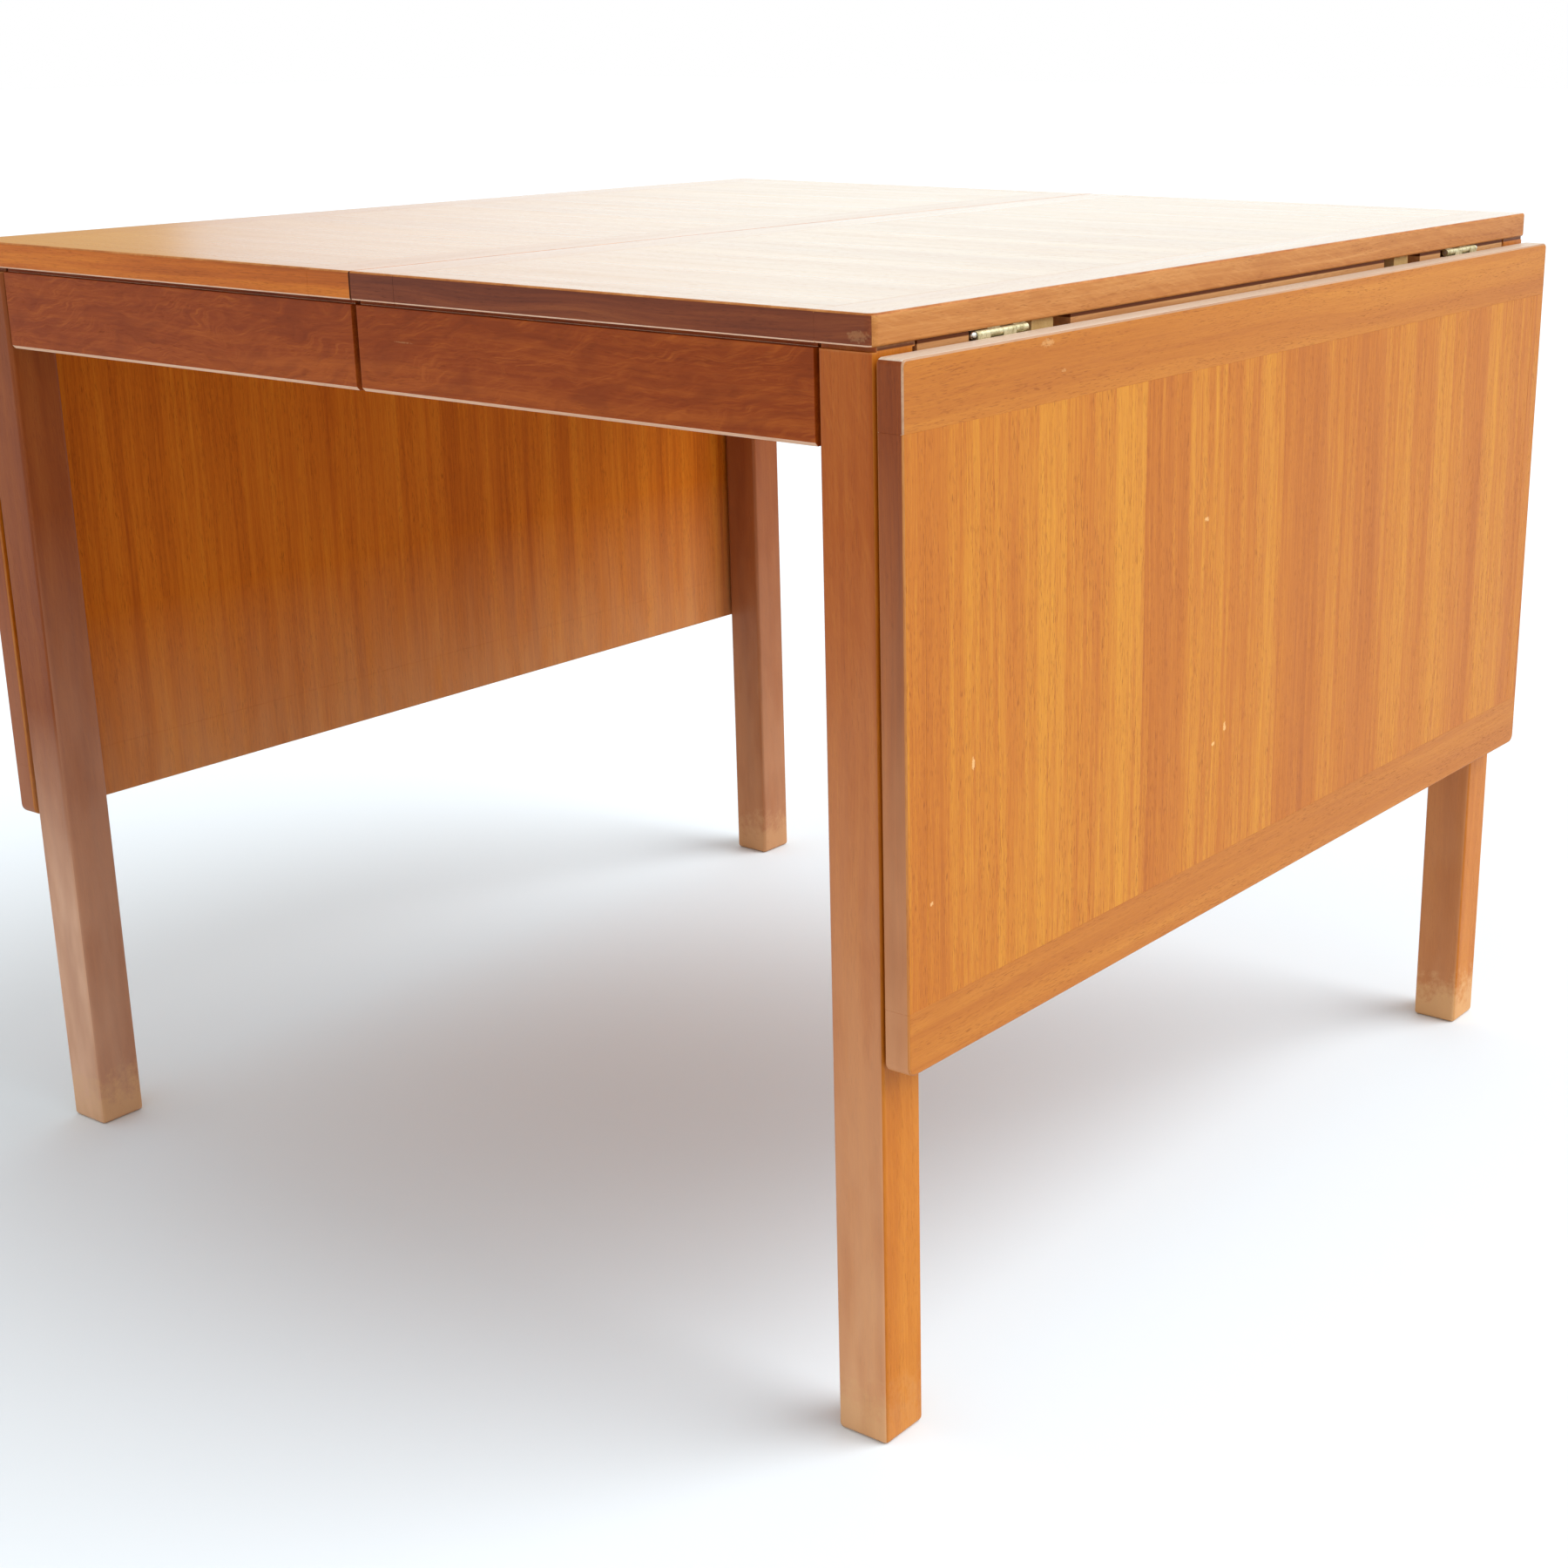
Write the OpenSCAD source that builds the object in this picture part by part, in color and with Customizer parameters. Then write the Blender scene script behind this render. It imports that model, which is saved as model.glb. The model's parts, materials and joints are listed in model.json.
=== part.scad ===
// Drop leaf table. The square top is two halves that draw apart on wooden runners, and a leaf hangs
// from hinges at each end. The floor is z = 0, +X runs towards the right leaf and -Y is the front.
// Parts are drawn for the right half or its back corner, then mirrored to their places.

/* [Overall] */
// Height of the top above the floor
table_h = 725; // [700:5:760]
// Length of the closed top, both halves together
top_l = 870; // [870:10:960]
// Width of the top
top_w = 900; // [880:10:960]
// Thickness of the top and of the leaves
board_t = 19; // [18:0.5:22]

/* [Leaves] */
// Length of a leaf, from its hinge edge to its free edge
leaf_l = 436; // [300:4:436]
// How much narrower a leaf is than the top
leaf_narrower = 2; // [0:1:6]
// Radius of a leaf's free corners
leaf_corner_r = 7; // [3:1:12]
// Radius of a leaf's corners at the hinge edge
leaf_hinge_corner_r = 3; // [1:0.5:5]

/* [Boards] */
// Width of the solid bands across the ends of a board
band_w = 42; // [34:1:50]
// Width of the solid strips along the front and back of a board
strip_w = 20; // [12:1:24]
// Radius of the top's outer corners
top_corner_r = 5; // [3:1:12]
// Radius of the top's corners at the seam
seam_corner_r = 1.5; // [0.5:0.5:3]
// Radius of the upper arris of a board
arris_up_r = 1.2; // [0.5:0.1:2]
// Radius of the lower arris of a board
arris_low_r = 1.8; // [0.5:0.1:3]

/* [Legs] */
// Width of a square leg
leg_w = 40; // [36:1:50]
// How far a leg's outer faces stand in from the edge of the top
leg_inset = 1.5; // [1:0.5:3]
// Radius of a leg's long arrises
leg_arris_r = 2; // [1:0.5:4]
// Radius of the edges under a foot
foot_r = 3; // [1:0.5:5]

/* [Aprons and end rails] */
// Depth of the aprons and end rails below the top
apron_h = 60; // [50:1:80]
// Thickness of the aprons and end rails
apron_t = 20; // [18:1:24]
// Gap between the two halves of an apron
seam_gap = 5; // [2:0.5:8]
// Shadow groove between an apron and a leg
leg_groove = 2.5; // [0.5:0.5:4]
// How far an apron stands behind the face of its leg
apron_recess = 0.3; // [0:0.1:2]
// Chamfer along the bottom of an apron
apron_chamfer = 2.5; // [1:0.5:4]
// How far an end rail stands behind the face of its leg
rail_recess = 0.3; // [0:0.1:1]
// Height of the dark gap under the top, cut along the front and back of the frame
shadow_h = 3; // [1:0.5:4]
// Depth of the same gap
shadow_d = 4; // [2:0.5:5]

/* [Lopers] */
// Width of a loper
loper_w = 24; // [18:1:28]
// Height of a loper
loper_h = 30; // [24:1:32]
// Length of a loper
loper_l = 330; // [330:5:380]
// How far a loper is made to pull out under a raised leaf
loper_travel = 220; // [150:5:220]
// How far the closed lopers stand behind the faces of the end rails
loper_recess = 3; // [2:0.5:5]
// Mean distance of the lopers and their notches from the middle of the table
loper_y = 248.5; // [247:0.5:250]
// How much further from the middle one loper of an end is, and how much nearer the other
loper_stagger = 24.5; // [22:0.5:26]
// Width of the notch that a loper runs in
notch_w = 62; // [50:1:63]
// The same stagger for the notches
notch_stagger = 28.5; // [27:0.5:29]

/* [Hinges] */
// Length of a hinge along its pin
hinge_l = 54; // [50:1:60]
// Distance of a hinge's middle from the middle of the table
hinge_y = 323; // [318:1:330]
// Radius of the knuckles
knuckle_r = 2.6; // [2.4:0.1:2.6]
// Radius of the hinge pin
pin_r = 1.2; // [1:0.1:1.4]
// Width of a hinge plate from the pin to its edge
plate_w = 28; // [24:1:30]
// Thickness of a hinge plate
plate_t = 1.5; // [1.2:0.1:1.6]

/* [Runners] */
// Width of a runner
runner_w = 22; // [18:1:24]
// Distance of the inner runner's inner face from the middle of the table
runner_y = 150; // [100:5:155]
// Height of a runner
runner_h = 30; // [28:1:32]
// How far the two halves of the top draw apart
draw_travel = 450; // [300:10:450]

/* [Hidden] */
$fn = 48;
arc_steps = 5;
under_z = table_h - board_t;
half_l = top_l / 2;
half_w = top_w / 2;
leaf_half_w = half_w - leaf_narrower / 2;
seam_x = 0.2;

leg_out_x = half_l - leg_inset;
leg_out_y = half_w - leg_inset;
leg_in_x = leg_out_x - leg_w;
leg_in_y = leg_out_y - leg_w;

apron_out_y = leg_out_y - apron_recess;
apron_in_y = apron_out_y - apron_t;
apron_end_x = leg_in_x - leg_groove;
apron_bot_z = under_z - apron_h;
rail_out_x = leg_out_x - rail_recess;
rail_in_x = rail_out_x - apron_t;

tenon_t = 10;
tenon_l = 18;
tenon_side = (apron_t - tenon_t) / 2;
tenon_shoulder = 10;
tenon_z = [apron_bot_z + tenon_shoulder, under_z - tenon_shoulder];
mortise_gap = 0.1;

// The hinge axis lies just under the top and just inside its edge, and a raised leaf stays 0.2 low
axis_x = half_l - 1.5;
axis_z = under_z - 2.9;
leaf_off = 2.7;
leaf_start = 2.1;
top_plate_w = under_z - axis_z - plate_t;
leaf_plate_w = leaf_off - plate_t;
pin_gap = 0.05;
knuckle_count = 4;
knuckle_l = hinge_l / knuckle_count;
knuckle_gap = 0.15;
knuckle_notch = 3.2;
// How far the pocket behind a hinge's knuckles runs past them towards the middle, and how deep it is
pocket_past = 8;
pocket_d = 10;
pin_head_r = 2.2;
pin_head_l = 4;

hinge_screw_r = 1.5;
hinge_screw_l = 13;
hinge_screw_head_r = 2.7;
// Each hinge screw's distance from the pin, and from the middle of the hinge
hinge_screws = [[plate_w - 8, -hinge_l / 3], [plate_w - 8, hinge_l / 3], [11, 0]];
hole_gap = 0.1;

fixing_r = 2;
fixing_l = 40;
fixing_head_r = 4;
runner_screw_xs = [100, 230, 360];

loper_top_z = under_z - 0.5;
loper_bot_z = loper_top_z - loper_h;
loper_end_x = rail_out_x - loper_recess;
loper_arris_r = 1.5;
notch_z = loper_bot_z - 0.5;
guide_r = 3;
guide_bite = 10;
guide_x = loper_end_x - 96;
slot_half = guide_r + 1;
washer_r = 9;
washer_t = 1.5;
washer_z = loper_bot_z - 0.5 - washer_t;
guide_head_r = 5.5;
guide_head_h = 3;

runner_clear = 0.4;
runner_gap = 0.5;
runner_end_x = rail_in_x - 2;
runner_far_x = 25 - runner_end_x;
tongue_l = 280;
groove_d = 7;
groove_z = [under_z - 20, under_z - 11];
groove_end_x = -runner_far_x - tongue_l - draw_travel - runner_gap;

block_near = rail_in_x + apron_in_y - leg_in_x - leg_in_y + 3;
block_far = block_near + 30;
block_mid = (block_near + block_far) / 4;

dowel_r = 4;
dowel_slack = 0.3;
dowel_reach = 12;
dowel_tip = 1;
dowel_ys = [-300, 0, 300];

teak_veneer = [0.86, 0.56, 0.28];
teak_solid = [0.78, 0.45, 0.20];
teak_dark = [0.56, 0.27, 0.14];
beech = [0.88, 0.76, 0.55];
hinge_metal = [0.80, 0.78, 0.62];
pin_metal = [0.90, 0.90, 0.88];
screw_metal = [0.72, 0.70, 0.62];

// ---- Placing ----

// Keeps a part at the right when side is 1, and mirrors it to the left when side is -1
module at_side(side) {
    if (side > 0) children();
    else mirror([1, 0, 0]) children();
}

// Keeps a part at the back when end is 1, and mirrors it to the front when end is -1
module at_end(end) {
    if (end > 0) children();
    else mirror([0, 1, 0]) children();
}

// Turns a part drawn for a raised leaf, outwards from the hinge axis, down to the hanging leaf
module hanging() {
    translate([axis_x, 0, axis_z]) rotate([0, 90, 0]) children();
}

// Moves a part drawn inwards from the hinge axis to its place under the top
module under_top() {
    translate([axis_x, 0, axis_z]) mirror([1, 0, 0]) children();
}

// ---- Shapes ----

function arc(cx, cy, r, a0) =
    r > 0 ? [for (i = [0 : arc_steps]) [cx + r * cos(a0 + 90 * i / arc_steps),
                                        cy + r * sin(a0 + 90 * i / arc_steps)]]
          : [[cx, cy]];

// A rectangle with a radius for each corner, counter-clockwise from the lowest one
function rounded_rect(lo, hi, r) = concat(
    arc(lo[0] + r[0], lo[1] + r[0], r[0], 180),
    arc(hi[0] - r[1], lo[1] + r[1], r[1], 270),
    arc(hi[0] - r[2], hi[1] - r[2], r[2], 0),
    arc(lo[0] + r[3], hi[1] - r[3], r[3], 90));

// An outline in Y and Z, run along X
module along_x(x0, x1, outline) {
    translate([x0, 0, 0]) rotate([90, 0, 90]) linear_extrude(x1 - x0) polygon(outline);
}

// An outline in X and Z, run along Y
module along_y(y0, y1, outline) {
    translate([0, y1, 0]) rotate([90, 0, 0]) linear_extrude(y1 - y0) polygon(outline);
}

// An outline in X and Y, run along Z
module along_z(z0, z1, outline) {
    translate([0, 0, z0]) linear_extrude(z1 - z0) polygon(outline);
}

module box(lo, hi) {
    translate(lo) cube(hi - lo);
}

module rod_y(y0, y1, r) {
    translate([0, y1, 0]) rotate([90, 0, 0]) cylinder(h = y1 - y0, r = r);
}

// A countersunk screw that points up with its head flush with z = 0, grown by extra for its hole
module countersunk(r, head_r, l, extra) {
    sink = head_r - r;
    cylinder(h = l + extra, r = r + extra);
    translate([0, 0, -extra]) cylinder(h = sink + extra, r1 = head_r + 2 * extra, r2 = r + extra);
}

module screw(r, head_r, l) {
    slot_w = head_r / 4;
    difference() {
        countersunk(r, head_r, l, 0);
        translate([-head_r, -slot_w / 2, -1]) cube([2 * head_r, slot_w, 1 + slot_w]);
    }
}

// ---- Boards: a veneered panel between two solid end bands and two side strips ----

module board_panel(x0, x1, z0, w) {
    box([x0 + band_w, strip_w - w, z0], [x1 - band_w, w - strip_w, z0 + board_t]);
}

// The band across the end at x1. It carries the board's rounded corners.
module end_band(x1, z0, w, corner_r) {
    x0 = x1 - band_w;
    z1 = z0 + board_t;
    across = [arris_low_r, arris_low_r, arris_up_r, arris_up_r];
    intersection() {
        along_z(z0, z1, rounded_rect([x0, -w], [x1, w], [0, corner_r, corner_r, 0]));
        along_y(-w, w, rounded_rect([x0, z0], [x1, z1], [0, arris_low_r, arris_up_r, 0]));
        along_x(x0, x1, rounded_rect([-w, z0], [w, z1], across));
    }
}

// The same band at the end nearest the middle
module start_band(x0, z0, w, corner_r) {
    mirror([1, 0, 0]) end_band(-x0, z0, w, corner_r);
}

module side_strip(x0, x1, z0, w) {
    outline = rounded_rect([w - strip_w, z0], [w, z0 + board_t], [0, arris_low_r, arris_up_r, 0]);
    along_x(x0 + band_w, x1 - band_w, outline);
}

// ---- Screws and their holes ----

// Every hinge screw of a half's top
module at_top_hinge_screws() {
    for (end = [-1, 1], s = hinge_screws)
        at_end(end) under_top() translate([s[0], hinge_y + s[1], top_plate_w]) children();
}

// Every hinge screw of a leaf
module at_leaf_hinge_screws() {
    for (end = [-1, 1], s = hinge_screws)
        at_end(end) translate([s[0], hinge_y + s[1], leaf_plate_w]) children();
}

function runner_mid_y(side) = runner_y + runner_w / 2 + (side > 0 ? 0 : runner_w + runner_gap);

// Every screw that holds a half's runners and corner blocks up to its top
module at_fixings(side) {
    for (end = [-1, 1]) at_end(end) {
        for (x = runner_screw_xs)
            translate([x, runner_mid_y(side), under_z - runner_h]) children();
        translate([rail_in_x - block_mid, apron_in_y - block_mid, under_z - runner_h]) children();
    }
}

module fixing_hole() {
    countersunk(fixing_r, fixing_head_r, fixing_l, hole_gap);
}

module hinge_screw_hole() {
    countersunk(hinge_screw_r, hinge_screw_head_r, hinge_screw_l, hole_gap);
}

// How far out from the middle a loper or a notch lies. The two ends are alike after half a turn.
function staggered(side, end, stagger) = loper_y - side * end * stagger;

// ---- Top ----

module top_panel(side) {
    color(teak_veneer) at_side(side) difference() {
        board_panel(seam_x, half_l, under_z, half_w);
        at_fixings(side) fixing_hole();
        for (end = [-1, 1])
            translate([guide_x, end * staggered(side, end, loper_stagger), under_z - 1])
                cylinder(h = 1 + guide_bite + hole_gap, r = guide_r + hole_gap);
    }
}

module top_end_band(side) {
    color(teak_solid) at_side(side) difference() {
        end_band(half_l, under_z, half_w, top_corner_r);
        at_top_hinge_screws() hinge_screw_hole();
    }
}

// The dowels are tight in the right half and slide into the left half
module top_seam_band(side) {
    hole_r = dowel_r + (side > 0 ? pin_gap : dowel_slack);
    color(teak_solid) at_side(side) difference() {
        start_band(seam_x, under_z, half_w, seam_corner_r);
        for (y = dowel_ys)
            translate([0, y, under_z + board_t / 2]) rotate([0, 90, 0])
                cylinder(h = dowel_reach + 1, r = hole_r);
    }
}

module top_strip(side, end) {
    color(teak_solid) at_side(side) at_end(end) side_strip(seam_x, half_l, under_z, half_w);
}

module seam_dowels() {
    outline = [
        [0, -dowel_reach], [dowel_r - dowel_tip, -dowel_reach], [dowel_r, dowel_tip - dowel_reach],
        [dowel_r, dowel_reach - dowel_tip], [dowel_r - dowel_tip, dowel_reach], [0, dowel_reach]
    ];
    color(beech) for (y = dowel_ys)
        translate([0, y, under_z + board_t / 2]) rotate([0, 90, 0]) rotate_extrude() polygon(outline);
}

// ---- Leaves ----

module leaf_panel(side) {
    color(teak_veneer) at_side(side) hanging()
        board_panel(leaf_start, leaf_start + leaf_l, leaf_off, leaf_half_w);
}

module leaf_hinge_band(side) {
    color(teak_solid) at_side(side) hanging() difference() {
        start_band(leaf_start, leaf_off, leaf_half_w, leaf_hinge_corner_r);
        at_leaf_hinge_screws() hinge_screw_hole();
    }
}

module leaf_free_band(side) {
    color(teak_solid) at_side(side) hanging()
        end_band(leaf_start + leaf_l, leaf_off, leaf_half_w, leaf_corner_r);
}

module leaf_strip(side, end) {
    color(teak_solid) at_side(side) at_end(end) hanging()
        side_strip(leaf_start, leaf_start + leaf_l, leaf_off, leaf_half_w);
}

// ---- Frame ----

module leg(side, end) {
    foot = [foot_r, foot_r, 0, 0];
    tenon_y = [apron_in_y + tenon_side, apron_out_y - tenon_side];
    tenon_x = [rail_in_x + tenon_side, rail_out_x - tenon_side];
    g = mortise_gap;
    color(teak_solid) at_side(side) at_end(end) difference() {
        intersection() {
            along_z(0, under_z, rounded_rect([leg_in_x, leg_in_y], [leg_out_x, leg_out_y],
                                             [for (i = [1 : 4]) leg_arris_r]));
            along_y(leg_in_y, leg_out_y, rounded_rect([leg_in_x, 0], [leg_out_x, under_z], foot));
            along_x(leg_in_x, leg_out_x, rounded_rect([leg_in_y, 0], [leg_out_y, under_z], foot));
        }
        box([leg_in_x - 1, tenon_y[0] - g, tenon_z[0] - g],
            [leg_in_x + tenon_l + g, tenon_y[1] + g, tenon_z[1] + g]);
        box([tenon_x[0] - g, leg_in_y - 1, tenon_z[0] - g],
            [tenon_x[1] + g, leg_in_y + tenon_l + g, tenon_z[1] + g]);
        box([leg_in_x - 1, apron_out_y - shadow_d, under_z - shadow_h],
            [leg_out_x + 1, leg_out_y + 1, under_z + 1]);
    }
}

module apron(side, end) {
    outline = [
        [apron_in_y, apron_bot_z], [apron_out_y - apron_chamfer, apron_bot_z],
        [apron_out_y, apron_bot_z + apron_chamfer], [apron_out_y, under_z - shadow_h],
        [apron_out_y - shadow_d, under_z - shadow_h], [apron_out_y - shadow_d, under_z],
        [apron_in_y, under_z]
    ];
    color(teak_dark) at_side(side) at_end(end) {
        along_x(seam_gap / 2, apron_end_x, outline);
        box([apron_end_x, apron_in_y + tenon_side, tenon_z[0]],
            [leg_in_x + tenon_l, apron_out_y - tenon_side, tenon_z[1]]);
    }
}

// The rail's notches let the lopers through, and pockets clear the hinge plates and the knuckles
module end_rail(side) {
    pocket_y = hinge_l / 2 + 1;
    rail_y = leg_in_y - leg_groove;
    knuckle_room = knuckle_r + 0.6;
    color(teak_solid) at_side(side) difference() {
        union() {
            box([rail_in_x, -rail_y, apron_bot_z], [rail_out_x, rail_y, under_z]);
            box([rail_in_x + tenon_side, -leg_in_y - tenon_l, tenon_z[0]],
                [rail_out_x - tenon_side, leg_in_y + tenon_l, tenon_z[1]]);
        }
        for (end = [-1, 1]) at_end(end) {
            notch_mid = staggered(side, end, notch_stagger);
            box([rail_in_x - 1, notch_mid - notch_w / 2, notch_z],
                [rail_out_x + 1, notch_mid + notch_w / 2, under_z + 1]);
            box([rail_in_x - 1, hinge_y - pocket_y, axis_z + top_plate_w - 0.2],
                [rail_out_x + 1, hinge_y + pocket_y, under_z + 1]);
            box([axis_x - pocket_d, hinge_y - hinge_l / 2 - pocket_past, axis_z - knuckle_room],
                [rail_out_x + 1, hinge_y + hinge_l / 2 + pin_head_l + 1, under_z + 1]);
        }
    }
}

// Glue blocks across the inside corners, between an apron and an end rail
module corner_blocks(side) {
    outline = [
        [rail_in_x - block_far, apron_in_y], [rail_in_x, apron_in_y - block_far],
        [rail_in_x, apron_in_y - block_near], [rail_in_x - block_near, apron_in_y]
    ];
    color(beech) at_side(side) difference() {
        for (end = [-1, 1]) at_end(end) along_z(under_z - runner_h, under_z, outline);
        at_fixings(side) fixing_hole();
    }
}

module fixing_screws(side) {
    color(screw_metal) at_side(side) at_fixings(side) screw(fixing_r, fixing_head_r, fixing_l);
}

// ---- Lopers ----

module loper(side, end) {
    half = loper_w / 2;
    mid = staggered(side, end, loper_stagger);
    bar = rounded_rect([mid - half, loper_bot_z], [mid + half, loper_top_z],
                       [for (i = [1 : 4]) loper_arris_r]);
    slot = rounded_rect([guide_x - loper_travel - slot_half, mid - slot_half],
                        [guide_x + slot_half, mid + slot_half],
                        [for (i = [1 : 4]) guide_r]);
    color(beech) at_side(side) at_end(end) difference() {
        along_x(loper_end_x - loper_l, loper_end_x, bar);
        along_z(loper_bot_z - 1, loper_top_z + 1, slot);
    }
}

// Washers and round-headed screws that hold the lopers up and stop them
module loper_guides(side) {
    screw_outline = [
        [0, -guide_head_h], [guide_head_r * 0.6, -guide_head_h * 0.9],
        [guide_head_r * 0.9, -guide_head_h * 0.5], [guide_head_r, 0],
        [guide_r, 0], [guide_r, under_z - washer_z + guide_bite], [0, under_z - washer_z + guide_bite]
    ];
    color(screw_metal) at_side(side) for (end = [-1, 1])
        translate([guide_x, end * staggered(side, end, loper_stagger), washer_z]) {
        difference() {
            cylinder(h = washer_t, r = washer_r);
            translate([0, 0, -1]) cylinder(h = washer_t + 2, r = guide_r + hole_gap);
        }
        rotate_extrude() polygon(screw_outline);
    }
}

// ---- Hinges ----

// Lowest and highest y of knuckle i, counted from the corner of the table
function knuckle_span(i) = [
    hinge_y + hinge_l / 2 - (i + 1) * knuckle_l + knuckle_gap,
    hinge_y + hinge_l / 2 - i * knuckle_l - knuckle_gap
];

// One side of a hinge, drawn outwards from the pin. It owns every second knuckle from first_knuckle.
module hinge_side(first_knuckle, w0) {
    lo_y = hinge_y - hinge_l / 2;
    hi_y = hinge_y + hinge_l / 2;
    difference() {
        union() {
            box([knuckle_notch, lo_y, w0], [plate_w, hi_y, w0 + plate_t]);
            for (i = [first_knuckle : 2 : knuckle_count - 1]) {
                span = knuckle_span(i);
                box([0, span[0], w0], [knuckle_notch, span[1], w0 + plate_t]);
                rod_y(span[0], span[1], knuckle_r);
            }
        }
        rod_y(lo_y - 1, hi_y + 1, pin_r + pin_gap);
        for (s = hinge_screws) translate([s[0], hinge_y + s[1], w0]) hinge_screw_hole();
    }
}

module hinge_top_plate(side, end) {
    color(hinge_metal) at_side(side) at_end(end) under_top() hinge_side(1, top_plate_w);
}

module hinge_leaf_plate(side, end) {
    color(hinge_metal) at_side(side) at_end(end) hanging() hinge_side(0, leaf_plate_w);
}

// Each pin has a domed head at the end nearest the corner
module hinge_pins(side) {
    l = hinge_l + pin_gap * 4;
    outline = [
        [0, 0], [pin_r, 0], [pin_r, l], [pin_head_r, l], [pin_head_r, l + pin_head_l * 0.5],
        [pin_head_r * 0.8, l + pin_head_l * 0.8], [pin_head_r * 0.4, l + pin_head_l * 0.95],
        [0, l + pin_head_l]
    ];
    color(pin_metal) at_side(side) for (end = [-1, 1]) at_end(end)
        translate([axis_x, hinge_y - hinge_l / 2, axis_z]) rotate([-90, 0, 0])
            rotate_extrude() polygon(outline);
}

module top_hinge_screws(side) {
    color(screw_metal) at_side(side) at_top_hinge_screws()
        screw(hinge_screw_r, hinge_screw_head_r, hinge_screw_l);
}

module leaf_hinge_screws(side) {
    color(screw_metal) at_side(side) hanging() at_leaf_hinge_screws()
        screw(hinge_screw_r, hinge_screw_head_r, hinge_screw_l);
}

// ---- Runners ----

// A runner is fixed under its own half and reaches under the other with a little clearance.
// The right half's runners are grooved, and the left half's carry a tongue that slides in them.
module runner(side, end) {
    y0 = runner_mid_y(side) - runner_w / 2;
    y1 = y0 + runner_w;
    bot_z = under_z - runner_h;
    color(beech) at_side(side) at_end(end) difference() {
        union() {
            box([runner_far_x, y0, bot_z], [runner_end_x, y1, under_z - runner_clear]);
            box([seam_gap, y0, under_z - runner_clear], [runner_end_x, y1, under_z]);
            if (side < 0)
                box([runner_far_x, y0 - runner_gap - groove_d + runner_clear, groove_z[0] + runner_clear],
                    [runner_far_x + tongue_l, y0, groove_z[1] - runner_clear]);
        }
        if (side > 0)
            box([groove_end_x, y1 - groove_d, groove_z[0]], [runner_end_x + 1, y1 + 1, groove_z[1]]);
        at_fixings(side) fixing_hole();
    }
}

top_panel(1);  // right_top_panel
top_end_band(1);  // right_top_end_band
top_seam_band(1);  // right_top_seam_band
top_strip(1, -1);  // right_top_front_strip
top_strip(1, 1);  // right_top_back_strip
top_panel(-1);  // left_top_panel
top_end_band(-1);  // left_top_end_band
top_seam_band(-1);  // left_top_seam_band
top_strip(-1, -1);  // left_top_front_strip
top_strip(-1, 1);  // left_top_back_strip
leaf_panel(1);  // right_leaf_panel
leaf_hinge_band(1);  // right_leaf_hinge_band
leaf_free_band(1);  // right_leaf_free_band
leaf_strip(1, -1);  // right_leaf_front_strip
leaf_strip(1, 1);  // right_leaf_back_strip
leaf_panel(-1);  // left_leaf_panel
leaf_hinge_band(-1);  // left_leaf_hinge_band
leaf_free_band(-1);  // left_leaf_free_band
leaf_strip(-1, -1);  // left_leaf_front_strip
leaf_strip(-1, 1);  // left_leaf_back_strip
leg(1, -1);  // right_front_leg
leg(1, 1);  // right_back_leg
leg(-1, -1);  // left_front_leg
leg(-1, 1);  // left_back_leg
apron(1, -1);  // right_front_apron
apron(1, 1);  // right_back_apron
apron(-1, -1);  // left_front_apron
apron(-1, 1);  // left_back_apron
end_rail(1);  // right_end_rail
end_rail(-1);  // left_end_rail
loper(1, -1);  // right_front_loper
loper(1, 1);  // right_back_loper
loper(-1, -1);  // left_front_loper
loper(-1, 1);  // left_back_loper
loper_guides(1);  // right_loper_guides
loper_guides(-1);  // left_loper_guides
hinge_top_plate(1, -1);  // right_front_hinge_top_plate
hinge_top_plate(1, 1);  // right_back_hinge_top_plate
hinge_top_plate(-1, -1);  // left_front_hinge_top_plate
hinge_top_plate(-1, 1);  // left_back_hinge_top_plate
hinge_leaf_plate(1, -1);  // right_front_hinge_leaf_plate
hinge_leaf_plate(1, 1);  // right_back_hinge_leaf_plate
hinge_leaf_plate(-1, -1);  // left_front_hinge_leaf_plate
hinge_leaf_plate(-1, 1);  // left_back_hinge_leaf_plate
hinge_pins(1);  // right_hinge_pins
hinge_pins(-1);  // left_hinge_pins
top_hinge_screws(1);  // right_top_hinge_screws
top_hinge_screws(-1);  // left_top_hinge_screws
leaf_hinge_screws(1);  // right_leaf_hinge_screws
leaf_hinge_screws(-1);  // left_leaf_hinge_screws
runner(1, -1);  // right_front_runner
runner(1, 1);  // right_back_runner
runner(-1, -1);  // left_front_runner
runner(-1, 1);  // left_back_runner
corner_blocks(1);  // right_corner_blocks
corner_blocks(-1);  // left_corner_blocks
fixing_screws(1);  // right_fixing_screws
fixing_screws(-1);  // left_fixing_screws
seam_dowels();
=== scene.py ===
"""A teak drop leaf table: two top halves that draw apart, a leaf hung at each end, on four square legs.

Lengths are metres in the CAD frame: the floor is z = 0, +X runs to the right leaf and -Y is the front.
"""

import json
import math

import bmesh
import bpy
from mathutils import Matrix, Vector


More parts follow.
